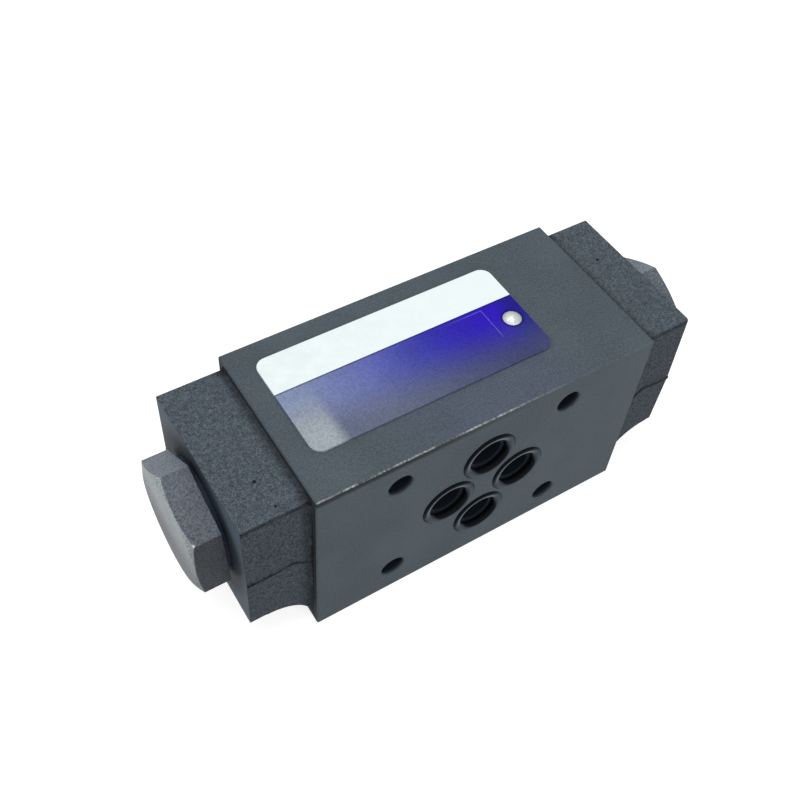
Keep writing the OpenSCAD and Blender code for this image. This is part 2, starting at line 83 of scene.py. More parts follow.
def middle(node: str) -> Vector:
    """Middle of a node's box, in millimetres."""
    low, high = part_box(node)
    return (low + high) / (2 * MM)


# Sizes that the finishes follow, and the radius of a worn edge in metres
AXIS_HEIGHT = middle("seat_bush_a").z
SEAT_REACH = top_corner("valve_body").x
BLOCK_TOP = top_corner("valve_body").z
PLUG_REACH = top_corner("plug_b").x
EDGE_RADIUS = 0.2 * MM


class Side(Enum):
    """End of the valve that a piece belongs to, with the sign of its X."""

    A = -1
    B = 1

    @property
    def letter(self) -> str:
        """Letter that ends the names of this side's nodes."""
        return self.name.lower()


class SteelGrade(Enum):
    """Surface of a bare steel piece inside the valve."""

    GROUND = "ground"
    WIRE = "wire"


@dataclass(frozen=True)
class Step:
    """Smooth step of a value, from start below low to end above high."""

    low: float
    high: float
    start: float = 0.0
    end: float = 1.0

    def past(self, mark: float) -> "Step":
        """The same step, measured from a mark."""
        return Step(self.low + mark, self.high + mark, self.start, self.end)


def fall(low: float, high: float) -> Step:
    """Step from 1 down to 0."""
    return Step(low, high, 1.0, 0.0)


@dataclass(frozen=True)
class Grain:
    """Noise: features per millimetre, octaves and strength of the finer ones."""

    scale: float
    detail: float = 2.0
    rough: float = 0.5


class Graph:
    """Short calls for the nodes and links of one shader tree."""

    def __init__(self, tree: bpy.types.NodeTree) -> None:
        """Keeps the tree that the calls add to."""
        self.tree = tree

    def add(self, kind: str, **settings: Any) -> bpy.types.Node:
        """Adds one node.

        Args:
            kind: Blender's name of the node type.
            **settings: Properties of the node.

        Returns:
            The new node.
        """
        node = self.tree.nodes.new(kind)
        for name, value in settings.items():
            setattr(node, name, value)
        return node

    def feed(self, socket: Socket, value: Feed) -> None:
        """Links a socket to an input, or sets a constant on it.

        Args:
            socket: The input.
            value: Another node's output, a number or a colour.
        """
        if isinstance(value, bpy.types.NodeSocket):
            self.tree.links.new(value, socket)
        elif isinstance(value, tuple) and socket.type == "RGBA":
            socket.default_value = (*value, 1.0)
        else:
            socket.default_value = value

    def math(self, operation: str, *values: Feed) -> Socket:
        """Adds a Math node.

        Args:
            operation: The node's operation.
            *values: Its inputs in order.

        Returns:
            The result.
        """
        node = self.add("ShaderNodeMath", operation=operation)
        for socket, value in zip(node.inputs, values):
            self.feed(socket, value)
        return node.outputs[0]

    def size(self, value: Socket) -> Socket:
        """Size of a value without its sign."""
        return self.math("ABSOLUTE", value)

    def away(self, value: Socket, mark: float) -> Socket:
        """Distance of a value from a mark, to either side."""
        return self.size(self.math("SUBTRACT", value, mark))

    def ramp(self, value: Socket, step: Step) -> Socket:
        """Takes a value through a smooth step.

        Args:
            value: The value.
            step: The step.

        Returns:
            The stepped value.
        """
        node = self.add("ShaderNodeMapRange", interpolation_type="SMOOTHSTEP")
        node.inputs["From Min"].default_value = step.low
        node.inputs["From Max"].default_value = step.high
        node.inputs["To Min"].default_value = step.start
        node.inputs["To Max"].default_value = step.end
        self.feed(node.inputs["Value"], value)
        return node.outputs[0]

    def mix(self, share: Feed, low: Feed, high: Feed, blend: str = "MIX") -> Socket:
        """Mixes two colours.

        Args:
            share: Share of the second colour.
            low: First colour.
            high: Second colour.
            blend: Blend type of the node.

        Returns:
            The mixed colour.
        """
        node = self.add("ShaderNodeMix", data_type="RGBA", blend_type=blend)
        self.feed(node.inputs[0], share)
        self.feed(node.inputs[MIX_LOW], low)
        self.feed(node.inputs[MIX_HIGH], high)
        return node.outputs[MIX_RESULT]

    def times(self, colour: Feed, tone: Socket) -> Socket:
        """Colour multiplied by a tone."""
        return self.mix(1.0, colour, tone, "MULTIPLY")

    def shade(self, colour: Socket, mask: Socket, share: float) -> Socket:
        """Darkens a colour where a mask is set.

        Args:
            colour: The colour.
            mask: Where it gets darker, 0 to 1.
            share: What is left of it there.

        Returns:
            The darkened colour.
        """
        return self.times(colour, self.math("MULTIPLY_ADD", mask, share - 1.0, 1.0))

    def both(self, *masks: Socket) -> Socket:
        """Product of two or more masks.

        Args:
            *masks: The masks.

        Returns:
            The product.
        """
        result = masks[0]
        for mask in masks[1:]:
            result = self.math("MULTIPLY", result, mask)
        return result

    def noise(self, vector: Socket, grain: Grain) -> Socket:
        """Noise value between 0 and 1.

        Args:
            vector: Place in millimetres.
            grain: Kind of noise.

        Returns:
            The noise.
        """
        node = self.add("ShaderNodeTexNoise")
        self.feed(node.inputs["Vector"], vector)
        node.inputs["Scale"].default_value = grain.scale
        node.inputs["Detail"].default_value = grain.detail
        node.inputs["Roughness"].default_value = grain.rough
        return node.outputs["Fac"]

    def patches(self, vector: Socket, grain: Grain, step: Step) -> Socket:
        """Noise taken through a step."""
        return self.ramp(self.noise(vector, grain), step)

    def distance(self, vector: Socket, point: Point) -> Socket:
        """Distance of a place from a fixed point.

        Args:
            vector: The place.
            point: The point.

        Returns:
            The distance.
        """
        node = self.add("ShaderNodeVectorMath", operation="DISTANCE")
        self.feed(node.inputs[0], vector)
        node.inputs[1].default_value = point
        return node.outputs["Value"]

    def place(self) -> Socket:
        """Finds the place on the piece.

        Returns:
            The place in millimetres of the row frame.
        """
        coordinates = self.add("ShaderNodeTexCoord")
        scaled = self.add("ShaderNodeVectorMath", operation="SCALE")
        self.feed(scaled.inputs[0], coordinates.outputs["Object"])
        scaled.inputs["Scale"].default_value = 1 / MM
        return scaled.outputs[0]

    def split(self, vector: Socket) -> tuple[Socket, Socket, Socket]:
        """Splits a vector.

        Args:
            vector: The vector.

        Returns:
            Its X, Y and Z.
        """
        node = self.add("ShaderNodeSeparateXYZ")
        self.feed(node.inputs[0], vector)
        return node.outputs[0], node.outputs[1], node.outputs[2]

    def facing(self) -> tuple[Socket, Socket, Socket]:
        """X, Y and Z of the way that the piece's surface looks."""
        return self.split(self.add("ShaderNodeTexCoord").outputs["Normal"])

    def use(self, group: bpy.types.NodeTree, **values: Feed) -> bpy.types.bpy_prop_collection:
        """Places a node group.

        Args:
            group: The group.
            **values: Inputs by name, with underscores for spaces.

        Returns:
            The outputs of the group's node.
        """
        node = self.add("ShaderNodeGroup", node_tree=group)
        for name, value in values.items():
            self.feed(node.inputs[name.replace("_", " ")], value)
        return node.outputs


class EffectGroup:
    """A shader node group that several finishes share."""

    def __init__(self, name: str, inputs: dict[str, str], outputs: dict[str, str]) -> None:
        """Makes the empty group.

        Args:
            name: Name of the group.
            inputs: Socket type of each input by name.
            outputs: Socket type of each output by name.
        """
        self.tree = bpy.data.node_groups.new(name, "ShaderNodeTree")
        for way, sockets in (("INPUT", inputs), ("OUTPUT", outputs)):
            for label, kind in sockets.items():
                self.tree.interface.new_socket(label, in_out=way, socket_type=kind)
        self.graph = Graph(self.tree)
        self.given = self.graph.add("NodeGroupInput").outputs
        self.wanted = self.graph.add("NodeGroupOutput").inputs


@dataclass(frozen=True)
class EffectSizes:
    """Grains and steps of the shared effects."""

    crystals: Grain = Grain(2.6, 3.0, 0.6)
    clouds: Grain = Grain(0.09)
    cloud_share: float = 0.3
    grit_middle: float = 0.65
    sand: Grain = Grain(4.2, 2.0, 0.6)
    sand_tone: Step = Step(0.3, 0.7, 0.5, 1.5)
    lumps: Grain = Grain(0.5)
    lump_share: float = 0.7
    mottle: Grain = Grain(1.1)
    mottle_tone: Step = Step(0.3, 0.7, 0.82, 1.18)
    bevel_samples: int = 8
    edge_turn: Step = fall(0.8, 0.99)
    rubs: Grain = Grain(1.1, 4.0, 0.7)
    rub_step: Step = Step(0.42, 0.62)
    tool_lines: Grain = Grain(5.0)


class Effects:
    """The shared effects, each built once."""

    def __init__(self, sizes: EffectSizes = EffectSizes()) -> None:
        """Builds the groups.

        Args:
            sizes: Their grains and steps.
        """
        self.sizes = sizes
        self.grit = self._grit()
        self.cast_skin = self._cast_skin()
        self.edge_wear_and_highlight = self._edge_wear()
        self.turning = self._turning()

    def _grit(self) -> bpy.types.NodeTree:
        """Fine crystals of a phosphate coat with broad clouding.

        Returns:
            Group with Tone, about 1, and Height.
        """
        outputs = {"Tone": FLOAT, "Height": FLOAT}
        group = EffectGroup("grit", {"Place": VECTOR, "Contrast": FLOAT}, outputs)
        g, place = group.graph, group.given["Place"]
        fine = g.noise(place, self.sizes.crystals)
        broad = g.noise(place, self.sizes.clouds)
        total = g.math("MULTIPLY_ADD", broad, self.sizes.cloud_share, fine)
        offset = g.math("SUBTRACT", total, self.sizes.grit_middle)
        tone = g.math("MULTIPLY_ADD", offset, group.given["Contrast"], 1.0)
        g.feed(group.wanted["Tone"], tone)
        g.feed(group.wanted["Height"], fine)
        return group.tree

    def _cast_skin(self) -> bpy.types.NodeTree:
        """Sand-cast skin: grain on soft lumps.

        Returns:
            Group with Tone, about 1, and Height.
        """
        group = EffectGroup("cast_skin", {"Place": VECTOR}, {"Tone": FLOAT, "Height": FLOAT})
        g, place = group.graph, group.given["Place"]
        grain = g.noise(place, self.sizes.sand)
        lumps = g.noise(place, self.sizes.lumps)
        mottle = g.patches(place, self.sizes.mottle, self.sizes.mottle_tone)
        g.feed(group.wanted["Height"], g.math("MULTIPLY_ADD", lumps, self.sizes.lump_share, grain))
        g.feed(group.wanted["Tone"], g.both(g.ramp(grain, self.sizes.sand_tone), mottle))
        return group.tree

    def _edge_wear(self) -> bpy.types.NodeTree:
        """Mask of the sharp edges, broken up in patches, for real wear and for painted highlights.

        Returns:
            Group with a Mask and the Normal of slightly rounded edges.
        """
        inputs = {"Place": VECTOR, "Radius": FLOAT, "Amount": FLOAT}
        group = EffectGroup("edge_wear_and_highlight", inputs, {"Mask": FLOAT, "Normal": VECTOR})
        g, place = group.graph, group.given["Place"]
        rounded = g.add("ShaderNodeBevel", samples=self.sizes.bevel_samples)
        g.feed(rounded.inputs["Radius"], group.given["Radius"])
        dot = g.add("ShaderNodeVectorMath", operation="DOT_PRODUCT")
        g.feed(dot.inputs[0], rounded.outputs["Normal"])
        g.feed(dot.inputs[1], g.add("ShaderNodeNewGeometry").outputs["Normal"])
        turn = g.ramp(dot.outputs["Value"], self.sizes.edge_turn)
        rubbed = g.patches(place, self.sizes.rubs, self.sizes.rub_step)
        g.feed(group.wanted["Mask"], g.both(turn, rubbed, group.given["Amount"]))
        g.feed(group.wanted["Normal"], rounded.outputs["Normal"])
        return group.tree

    def _turning(self) -> bpy.types.NodeTree:
        """Turning marks round an axis along X.

        Returns:
            Group with Height, and with Radius in millimetres.
        """
        outputs = {"Height": FLOAT, "Radius": FLOAT}
        group = EffectGroup("turning", {"Place": VECTOR, "Axis Height": FLOAT}, outputs)
        g = group.graph
        x, y, z = g.split(group.given["Place"])
        rise = g.math("SUBTRACT", z, group.given["Axis Height"])
        squares = g.math("MULTIPLY_ADD", y, y, g.math("MULTIPLY", rise, rise))
        radius = g.math("SQRT", squares)
        line = g.add("ShaderNodeCombineXYZ")
        g.feed(line.inputs[0], radius)
        g.feed(line.inputs[1], x)
        g.feed(group.wanted["Height"], g.noise(line.outputs[0], self.sizes.tool_lines))
        g.feed(group.wanted["Radius"], radius)
        return group.tree


@dataclass(frozen=True)
class Finish:
    """A finish with its plain values; each kind adds its own detail."""

    name: str
    base: Colour
    roughness: float
    metallic: float = 0.0
    specular: float = 0.5

    def make(self, effects: Effects) -> bpy.types.Material:
        """Builds the material.

        Args:
            effects: The shared effects.

        Returns:
            The material.
        """
        material = bpy.data.materials.new(self.name)
        material.use_nodes = True
        shader = material.node_tree.nodes["Principled BSDF"]
        shader.inputs["Base Color"].default_value = (*self.base, 1.0)
        shader.inputs["Roughness"].default_value = self.roughness
        shader.inputs["Metallic"].default_value = self.metallic
        shader.inputs["Specular IOR Level"].default_value = self.specular
        self.detail(Graph(material.node_tree), shader, effects)
        return material

    def detail(self, g: Graph, shader: bpy.types.Node, effects: Effects) -> None:
        """Adds what this kind of finish shows."""
        raise NotImplementedError

    def roughen(self, g: Graph, shader: bpy.types.Node, mask: Socket, change: float) -> None:
        """Changes the roughness where a mask is set.

        Args:
            g: The material's graph.
            shader: The shader.
            mask: Where it changes, 0 to 1.
            change: What is added there.
        """
        g.feed(shader.inputs["Roughness"], g.math("MULTIPLY_ADD", mask, change, self.roughness))

    @staticmethod
    def bump(
        g: Graph, shader: bpy.types.Node, height: Socket, depth: float, normal: Optional[Socket] = None
    ) -> None:
        """Feeds a height into the shader's normal.

        Args:
            g: The material's graph.
            shader: The shader.
            height: Height between about 0 and 1.
            depth: Depth of that height in millimetres.
            normal: Normal that the bump goes on.
        """
        node = g.add("ShaderNodeBump")
        node.inputs["Distance"].default_value = depth * MM
        g.feed(node.inputs["Height"], height)
        if normal is not None:
            g.feed(node.inputs["Normal"], normal)
        g.feed(shader.inputs["Normal"], node.outputs["Normal"])


@dataclass(frozen=True)
class CastingFinish(Finish):
    """Phosphated iron: machined faces on the block, sand-cast skin on the ends."""

    cast: Colour = (0.081, 0.1, 0.119)
    # Painted sheen on the top face in front of the plate
    cool: Colour = (0.076, 0.092, 0.125)
    # Painted bluish shade on the seat faces
    seat: Colour = (0.08, 0.108, 0.143)
    # Bare metal of wear, also used for the painted highlight on the upper front edge
    worn: Colour = (0.5, 0.53, 0.55)
    # Painted shade inside the blow holes
    pit: Colour = (0.008, 0.009, 0.011)
    # Painted shade inside the drillings
    drilled: Colour = (0.003, 0.006, 0.012)
    contrast: float = 1.3
    wear: float = 0.22
    cast_roughness: float = 0.2
    grit_relief: float = 0.03
    relief: float = 0.3

    # The machined block: its middle, half sizes and chamfer, and where its faces end
    block_middle: float = 1.25
    block_half_length: float = 40.0
    block_half_depth: float = 20.0
    chamfer: float = 0.3
    chamfer_margin: float = 0.02
    face_margin: float = 0.1
    hole_margin: float = 0.4
    block_end: Step = Step(-0.05, 0.1)
    seat_start: Step = Step(-0.06, -0.02)

    # Painted sheen: a bluer tone on the top face in front of the plate
    cool_from: Step = Step(-26.0, -4.0)
    cool_to: Step = fall(14.0, 30.0)
    cool_front: Step = fall(-13.0, -6.0)

    # Blow holes in the cast skin, each with its radius, painted dark with their shade
    pits: tuple[tuple[Point, float], ...] = (
        ((-45.7, -9.3, 45.6), 0.45),
        ((-44.8, -15.9, 45.6), 0.3),
        ((47.2, 6.0, 45.6), 0.45),
    )

    # Painted shade on the cast ends: on the sides, at the upper edges, by the block and on the flash
    upright: Step = fall(0.3, 0.75)
    upright_shade: float = 0.83
    hollows: Grain = Grain(2.0, 3.0, 0.65)
    hollow_step: Step = fall(0.36, 0.52)
    hollow_shade: float = 0.5
    soot: Grain = Grain(0.55, 3.0, 0.6)
    soot_step: Step = Step(0.32, 0.55, 0.25, 1.0)
    edge_side: Step = Step(17.2, 17.7)
    edge_from: Step = Step(43.9, 44.6)
    edge_to: Step = fall(45.0, 45.5)
    edge_shade: float = 0.35
    corner_side: Step = Step(15.0, 17.0)
    corner_reach: Step = fall(0.2, 3.2)
    root_height: Step = Step(44.0, 45.2)
    root_reach: Step = fall(0.2, 2.6)
    root_shade: float = 0.4
    end_half_width: float = 18.4
    flash: Step = Step(0.02, 0.12)
    flash_shade: float = 0.12

    # Painted shade on the machined faces: in the drillings, on the end walls and round the plugs
    drilling: Step = fall(-1.3, -0.1)
    drilled_rest: float = 0.1
    wall_reach: Step = fall(0.05, 0.3)
    wall_facing: Step = Step(0.75, 0.95)
    wall_shade: float = 0.5
    plug_shadow: Step = fall(15.0, 20.0)
    plug_shade: float = 0.22

    # Upper front edge: a line of painted shade below it, and a painted highlight on it that is partly
    # bare metal of real wear
    under_run: Step = fall(-20.0, 18.0)
    under_height: Step = Step(-2.2, -0.9)
    under_shade: float = 0.2
    rub_run: Step = Step(4.0, 20.0, 1.0, 0.05)
    rub_lengths: Grain = Grain(0.15)
    rub_length_step: Step = Step(0.4, 0.6, 0.2, 0.6)
    rub_chips: Grain = Grain(1.6)
    rub_chip_step: Step = Step(0.35, 0.65, 0.3, 1.2)

    def detail(self, g: Graph, shader: bpy.types.Node, effects: Effects) -> None:
        """Adds the machined faces, the cast skin and the wear, with painted sheen, shade and highlight.

        Args:
            g: The material's graph.
            shader: The shader.
            effects: The shared effects.
        """
        place = g.place()
        x, _, _ = g.split(place)
        reach = g.away(x, self.block_middle)
        past_block = g.ramp(reach, self.block_end.past(self.block_half_length))
        faced = g.ramp(g.size(x), self.seat_start.past(SEAT_REACH))
        cast_zone = g.both(past_block, g.math("SUBTRACT", 1.0, faced))
        grit = g.use(effects.grit, Place=place, Contrast=self.contrast)
        skin = g.use(effects.cast_skin, Place=place)
        wear = g.use(effects.edge_wear_and_highlight, Place=place, Radius=EDGE_RADIUS, Amount=self.wear)
        # Painted sheen on the top face in front of the plate
        machined = g.mix(self._cool_top(g, place), self.base, self.cool)
        # Painted bluish shade on the seat faces
        machined = g.mix(faced, machined, self.seat)
        machined = g.times(machined, grit["Tone"])
        cast = self._cast_shades(g, g.times(self.cast, skin["Tone"]), place, reach)
        pits = self._pits(g, place)
        # Blow holes painted dark with their shade
        cast = g.mix(pits, cast, self.pit)
        colour = g.mix(cast_zone, machined, cast)
        colour = g.mix(wear["Mask"], colour, self.worn)
        colour = self._machined_shades(g, colour, place, reach)
        radius = g.use(effects.turning, Place=place, Axis_Height=AXIS_HEIGHT)["Radius"]
        # Painted shadow round the plugs on the seat faces
        round_plug = g.both(faced, g.ramp(radius, self.plug_shadow))
        colour = g.shade(colour, round_plug, self.plug_shade)
        g.feed(shader.inputs["Base Color"], self._front_edge(g, colour, place))
        self.roughen(g, shader, cast_zone, self.cast_roughness)
        fine = g.math("MULTIPLY", grit["Height"], self.grit_relief)
        coarse = g.both(g.math("SUBTRACT", skin["Height"], pits), cast_zone)
        self.bump(g, shader, g.math("ADD", fine, coarse), self.relief, wear["Normal"])

    def _cool_top(self, g: Graph, place: Socket) -> Socket:
        """Mask of the painted sheen, a bluer tone on the top face in front of the plate.

        Args:
            g: The material's graph.
            place: Place in millimetres.

        Returns:
            The mask.
        """
        x, y, z = g.split(place)
        along = g.both(g.ramp(x, self.cool_from), g.ramp(x, self.cool_to))
        on_top = g.math("GREATER_THAN", z, BLOCK_TOP - self.face_margin)
        return g.both(along, g.ramp(y, self.cool_front), on_top)

    def _pits(self, g: Graph, place: Socket) -> Socket:
        """Mask of the blow holes in the cast skin.

        Args:
            g: The material's graph.
            place: Place in millimetres.

        Returns:
            The mask.
        """
        mask: Feed = 0.0
        for centre, radius in self.pits:
            hole = g.ramp(g.distance(place, centre), fall(0.5 * radius, radius))
            mask = g.math("MAXIMUM", hole, mask)
        return mask

    def _cast_shades(self, g: Graph, colour: Socket, place: Socket, reach: Socket) -> Socket:
        """Paints shade on the sides, the upper edges, the roots and the flash of the cast ends.

        Args:
            g: The material's graph.
            colour: Colour of the cast skin.
            place: Place in millimetres.
            reach: Distance from the block's middle.

        Returns:
            The shaded colour.
        """
        _, y, z = g.split(place)
        aside = g.size(y)
        # Painted shade on the faces that don't look up
        upright = g.ramp(g.facing()[2], self.upright)
        colour = g.shade(colour, upright, self.upright_shade)
        hollows = g.both(upright, g.patches(place, self.hollows, self.hollow_step))
        colour = g.shade(colour, hollows, self.hollow_shade)
        # Patches that break up the painted shade below
        soot = g.patches(place, self.soot, self.soot_step)
        # Painted shade below the upper edges of the sides
        in_edge = g.both(g.ramp(z, self.edge_from), g.ramp(z, self.edge_to))
        edge = g.both(g.ramp(aside, self.edge_side), in_edge, soot)
        colour = g.shade(colour, edge, self.edge_shade)
        # Painted shade in the corners by the block
        at_corner = g.ramp(reach, self.corner_reach.past(self.block_half_length))
        corner = g.both(g.ramp(aside, self.corner_side), at_corner, soot)
        colour = g.shade(colour, corner, self.root_shade)
        # Painted shade at the root of the top by the block
        at_root = g.ramp(reach, self.root_reach.past(self.block_half_length))
        colour = g.shade(colour, g.both(at_root, g.ramp(z, self.root_height)), self.root_shade)
        # Painted shade on the flash
        proud = g.ramp(aside, self.flash.past(self.end_half_width))
        return g.shade(colour, g.both(proud, soot), self.flash_shade)

    def _machined_shades(self, g: Graph, colour: Socket, place: Socket, reach: Socket) -> Socket:
        """Paints shade in the drillings and on the end walls of the block.

        Args:
            g: The material's graph.
            colour: Colour so far.
            place: Place in millimetres.
            reach: Distance from the block's middle.

        Returns:
            The shaded colour.
        """
        _, y, z = g.split(place)
        half_height = 0.5 * BLOCK_TOP
        below_face = g.ramp(g.size(y), self.drilling.past(self.block_half_depth))
        in_height = g.math("LESS_THAN", g.away(z, half_height), half_height - self.hole_margin)
        in_length = g.math("LESS_THAN", reach, self.block_half_length - self.hole_margin)
        drilled = g.both(below_face, in_height, in_length)
        # Painted shade inside the drillings
        colour = g.mix(drilled, colour, g.mix(self.drilled_rest, self.drilled, colour))
        # Painted shade on the end walls of the block
        end_wall = g.both(
            g.math("GREATER_THAN", reach, self.block_half_length - self.face_margin),
            g.ramp(reach, self.wall_reach.past(self.block_half_length)),
            g.ramp(g.size(g.facing()[0]), self.wall_facing),
        )
        return g.shade(colour, end_wall, self.wall_shade)

    def _front_edge(self, g: Graph, colour: Socket, place: Socket) -> Socket:
        """Paints a highlight on the upper front edge, partly bare metal of real wear, with a line of
        painted shade below, fading towards side B.

        Args:
            g: The material's graph.
            colour: Colour so far.
            place: Place in millimetres.

        Returns:
            The colour with that edge.
        """
        x, y, z = g.split(place)
        bevel = self.chamfer - self.chamfer_margin
        at_front = g.math("LESS_THAN", y, bevel - self.block_half_depth)
        # Painted shade in a line below the edge
        under_height = g.ramp(z, self.under_height.past(BLOCK_TOP))
        under = g.both(at_front, g.ramp(x, self.under_run), under_height)
        colour = g.shade(colour, under, self.under_shade)
        # Painted highlight on the edge, partly bare metal of real wear
        lengths = g.patches(place, self.rub_lengths, self.rub_length_step)
        chips = g.patches(place, self.rub_chips, self.rub_chip_step)
        on_edge = g.both(at_front, g.math("GREATER_THAN", z, BLOCK_TOP - bevel))
        return g.mix(g.both(on_edge, g.ramp(x, self.rub_run), lengths, chips), colour, self.worn)


@dataclass(frozen=True)
class PlugFinish(Finish):
    """Phosphated steel: milled flats with painted light and painted shade, and a turned end face painted
    paler with a painted sheen.
    """

    # Painted sheen on the end face, at the top and at the bottom
    rubbed: Colour = (0.32, 0.37, 0.385)
    rubbed_low: Colour = (0.06, 0.075, 0.092)
    # Painted light on the flats that look back
    pale: Colour = (0.15, 0.178, 0.21)
    # Painted shade on the neck under the hex
    neck: Colour = (0.005, 0.012, 0.034)
    # Bare metal of wear, also used for the painted glints
    worn: Colour = (0.8, 0.82, 0.83)
    contrast: float = 3.2
    wear: float = 0.3
    end_polish: float = -0.1
    grit_relief: float = 1.2
    relief: float = 0.06

    # Where the end face with its painted sheen, the flats with painted light and painted shade, and the
    # neck under the hex with its painted shade lie
    end_facing: Step = Step(0.5, 0.8)
    end_depth: Step = Step(-2.0, -1.5)
    rub_height: Step = Step(-7.0, 9.4)
    pale_facing: Step = Step(0.2, 0.5)
    under_facing: Step = fall(0.2, 0.7)
    under_shade: float = 0.42
    hex_reach: float = 54.0
    neck_from: Step = Step(-0.4, -0.1)
    neck_to: Step = fall(-0.02, 0.1)

    # Painted glints on corners of the left hex
    tips: tuple[Point, ...] = ((-59.7, 1.6, 42.8), (-59.7, -11.4, 37.4))
    glint: Step = Step(0.15, 0.6, 0.9, 0.0)
    chips: Grain = Grain(2.0)
    chip_step: Step = Step(0.4, 0.55)

    def detail(self, g: Graph, shader: bpy.types.Node, effects: Effects) -> None:
        """Adds the flats, the end face, the neck and the wear, with painted light, shade, sheen and
        glints.

        Args:
            g: The material's graph.
            shader: The shader.
            effects: The shared effects.
        """
        place = g.place()
        x, _, z = g.split(place)
        out = g.size(x)
        turning = g.use(effects.turning, Place=place, Axis_Height=AXIS_HEIGHT)
        grit = g.use(effects.grit, Place=place, Contrast=self.contrast)
        wear = g.use(effects.edge_wear_and_highlight, Place=place, Radius=EDGE_RADIUS, Amount=self.wear)
        looks_out, looks_back, looks_up = g.facing()
        end_depth = g.ramp(out, self.end_depth.past(PLUG_REACH))
        end = g.both(g.ramp(g.size(looks_out), self.end_facing), end_depth)
        # Painted light on the flats that look back
        colour = g.mix(g.ramp(looks_back, self.pale_facing), self.base, self.pale)
        colour = g.times(colour, grit["Tone"])
        # Painted shade on the faces that don't look up
        colour = g.shade(colour, g.ramp(looks_up, self.under_facing), self.under_shade)
        # Painted sheen on the end face, darker towards the bottom
        height = g.ramp(z, self.rub_height.past(AXIS_HEIGHT))
        face = g.times(g.mix(height, self.rubbed_low, self.rubbed), grit["Tone"])
        colour = g.mix(end, colour, face)
        colour = g.mix(wear["Mask"], colour, self.worn)
        # Painted glints on two corners of the hex
        broken = g.patches(place, self.chips, self.chip_step)
        for tip in self.tips:
            glint = g.ramp(g.distance(place, tip), self.glint)
            colour = g.mix(g.both(glint, broken), colour, self.worn)
        # Painted shade on the neck under the hex
        neck_from = g.ramp(out, self.neck_from.past(SEAT_REACH))
        neck_to = g.ramp(out, self.neck_to.past(self.hex_reach))
        g.feed(shader.inputs["Base Color"], g.mix(g.both(neck_from, neck_to), colour, self.neck))
        self.roughen(g, shader, end, self.end_polish)
        lines = g.both(turning["Height"], end)
        relief = g.math("MULTIPLY_ADD", grit["Height"], self.grit_relief, lines)
        self.bump(g, shader, relief, self.relief, wear["Normal"])


@dataclass(frozen=True)
class RubberFinish(Finish):
    """Dusty seal rubber, with painted shade on the flank that looks up and a painted highlight on the
    one that looks down.
    """

    bloom: Colour = (0.065, 0.08, 0.092)
    # Painted highlight on the rim
    rim: Colour = (0.15, 0.18, 0.215)
    clouds: Grain = Grain(0.6, 3.0)
    cloud_step: Step = Step(0.45, 0.75)
    cloud_roughness: float = 0.12
    relief: float = 0.008

    # Shares of up and of right in the tilt that the painted shade and highlight follow, and the tilt of
    # a ring's middle
    up_share: float = 0.9
    right_share: float = -0.44
    middle_tilt: float = 0.23
    upper_part: Step = Step(-0.25, 0.15)
    upper_shade: float = 0.3
    rim_part: Step = Step(0.0, 0.3, 0.25, 1.0)
    rim_slope: Step = fall(0.05, 0.22)
    crest_slope: Step = Step(0.25, 0.45)
    crest_shade: float = 0.08

    def detail(self, g: Graph, shader: bpy.types.Node, effects: Effects) -> None:
        """Adds the bloom, and the painted shade and painted highlight round the ring.

        Args:
            g: The material's graph.
            shader: The shader.
            effects: The shared effects.
        """
        place = g.place()
        grit = g.use(effects.grit, Place=place)
        cloud = g.patches(place, self.clouds, self.cloud_step)
        colour = g.mix(cloud, self.base, self.bloom)
        looks_right, _, looks_up = g.facing()
        slope = self._tilt(g, looks_right, looks_up)
        round_x, _, round_z = g.split(g.add("ShaderNodeTexCoord").outputs["Generated"])
        raised = g.math("SUBTRACT", self._tilt(g, round_x, round_z), self.middle_tilt)
        # Painted shadow on the upper part of each ring
        colour = g.shade(colour, g.ramp(raised, self.upper_part), self.upper_shade)
        # Painted highlight on the rim
        rim = g.both(g.ramp(slope, self.rim_slope), g.ramp(raised, self.rim_part))
        colour = g.mix(rim, colour, self.rim)
        # Painted shade on the flanks that look up
        colour = g.shade(colour, g.ramp(slope, self.crest_slope), self.crest_shade)
        g.feed(shader.inputs["Base Color"], colour)
        self.roughen(g, shader, cloud, self.cloud_roughness)
        self.bump(g, shader, grit["Height"], self.relief)

    def _tilt(self, g: Graph, right: Socket, up: Socket) -> Socket:
        """Sum of a part to the right and a part upwards, by their shares."""
        return g.math("MULTIPLY_ADD", up, self.up_share, g.math("MULTIPLY", right, self.right_share))


@dataclass(frozen=True)
class SteelFinish(Finish):
    """Bare steel of the pieces inside, ground round the bore axis or drawn as wire."""

    grade: SteelGrade = SteelGrade.GROUND
    contrast: float = 0.25
    line_tone: Step = Step(0.25, 0.75, 0.72, 1.28)
    line_relief: float = 0.006
    wire_relief: float = 0.01

    def detail(self, g: Graph, shader: bpy.types.Node, effects: Effects) -> None:
        """Adds the turned lines, or the grain of drawn wire.

        Args:
            g: The material's graph.
            shader: The shader.
            effects: The shared effects.
        """
        place = g.place()
        grit = g.use(effects.grit, Place=place, Contrast=self.contrast)
        tone = grit["Tone"]
        if self.grade is SteelGrade.GROUND:
            lines = g.use(effects.turning, Place=place, Axis_Height=AXIS_HEIGHT)["Height"]
            tone = g.both(tone, g.ramp(lines, self.line_tone))
            self.bump(g, shader, lines, self.line_relief)
        else:
            self.bump(g, shader, grit["Height"], self.wire_relief)
        g.feed(shader.inputs["Base Color"], g.times(self.base, tone))
        g.feed(shader.inputs["Roughness"], g.math("MULTIPLY", tone, self.roughness))


